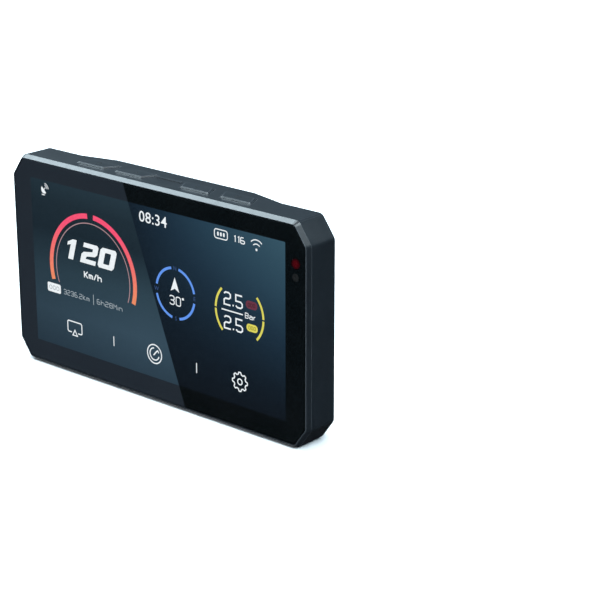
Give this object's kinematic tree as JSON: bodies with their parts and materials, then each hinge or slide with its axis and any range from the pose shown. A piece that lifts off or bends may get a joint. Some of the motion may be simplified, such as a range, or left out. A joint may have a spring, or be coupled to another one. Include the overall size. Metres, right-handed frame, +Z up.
{
  "type": "rider's dash display",
  "caption": "Wide eight-sided dash display with a glass front, press keys along its top edge, a faceted cover with woven panels, and a ball mount carried on rubber grommets.",
  "frame": {"origin": "centre of the whole object's box in X and Y, at the height of the case's flat lower edge", "axes": "+X to the right as the rider sees the screen, -Y out of the glass towards the rider, +Z up through the keys"},
  "size_m": [0.16, 0.0586, 0.0892],
  "materials": {
    "case_paint": "satin, fine cast texture",
    "black_glass": "polished",
    "display_face": "lit screen",
    "black_plastic": "matte",
    "black_rubber": "matte",
    "red_rubber": "semi-gloss",
    "red_lens": "tinted, polished",
    "woven_fibre": "twill weave under clear coat",
    "bright_steel": "turned",
    "dark_steel": "blackened, satin",
    "bare_aluminium": "pressed sheet",
    "board_green": "solder mask",
    "ceramic_tan": "fired",
    "foil_blue": "shrink film",
    "gold_contact": "plated"
  },
  "bodies": {
    "ball_mount": {"mount_plate": "dark_steel", "ball_base": "dark_steel", "ball_stud": "dark_steel", "base_screw_1": "dark_steel", "base_screw_2": "dark_steel"},
    "display_unit": {"front_frame": "case_paint", "rear_cover": "case_paint", "cover_glass": "black_glass", "display_panel": "display_face", "backlight_unit": "black_plastic", "sounder": "black_plastic", "power_inlet": "black_plastic", "tact_switch_1": "black_plastic", "tact_switch_2": "black_plastic", "tact_switch_3": "black_plastic", "tact_switch_4": "black_plastic", "glass_adhesive": "black_rubber", "button_membrane": "black_rubber", "perimeter_seal": "black_rubber", "heat_pad": "black_rubber", "breather_plug": "black_rubber", "grommet_1": "red_rubber", "grommet_2": "red_rubber", "grommet_3": "red_rubber", "grommet_4": "red_rubber", "sensor_lens": "red_lens", "carbon_panel_left": "woven_fibre", "carbon_panel_right": "woven_fibre", "mount_bolt_1": "bright_steel", "mount_bolt_2": "bright_steel", "mount_bolt_3": "bright_steel", "mount_bolt_4": "bright_steel", "cover_screw_1": "dark_steel", "cover_screw_2": "dark_steel", "cover_screw_3": "dark_steel", "cover_screw_4": "dark_steel", "cover_screw_5": "dark_steel", "cover_screw_6": "dark_steel", "cover_screw_7": "dark_steel", "cover_screw_8": "dark_steel", "cover_screw_9": "dark_steel", "cover_screw_10": "dark_steel", "panel_bracket": "bare_aluminium", "shield_can": "bare_aluminium", "heat_spreader": "bare_aluminium", "main_board": "board_green", "button_board": "board_green", "satellite_antenna": "ceramic_tan", "backup_cell": "foil_blue", "inlet_contact": "gold_contact", "wireless_antenna": "gold_contact"},
    "button_1": {"button_1": "case_paint"},
    "button_2": {"button_2": "case_paint"},
    "button_3": {"button_3": "case_paint"},
    "button_4": {"button_4": "case_paint"}
  },
  "joints": [
    {"name": "mount_float", "type": "slide", "parent": "ball_mount", "child": "display_unit", "axis": [0, 1, 0], "range_m": [-0.0003, 0.0003], "stiffness_N_per_m": 40000},
    {"name": "button_1_press", "type": "slide", "parent": "display_unit", "child": "button_1", "axis": [0, 0, -1], "range_m": [0, 0.0006], "stiffness_N_per_m": 3000, "springref_m": -0.0002},
    {"name": "button_2_press", "type": "slide", "parent": "display_unit", "child": "button_2", "axis": [0, 0, -1], "range_m": [0, 0.0006], "stiffness_N_per_m": 3000, "springref_m": -0.0002},
    {"name": "button_3_press", "type": "slide", "parent": "display_unit", "child": "button_3", "axis": [0, 0, -1], "range_m": [0, 0.0006], "stiffness_N_per_m": 3000, "springref_m": -0.0002},
    {"name": "button_4_press", "type": "slide", "parent": "display_unit", "child": "button_4", "axis": [0, 0, -1], "range_m": [0, 0.0006], "stiffness_N_per_m": 3000, "springref_m": -0.0002}
  ]
}
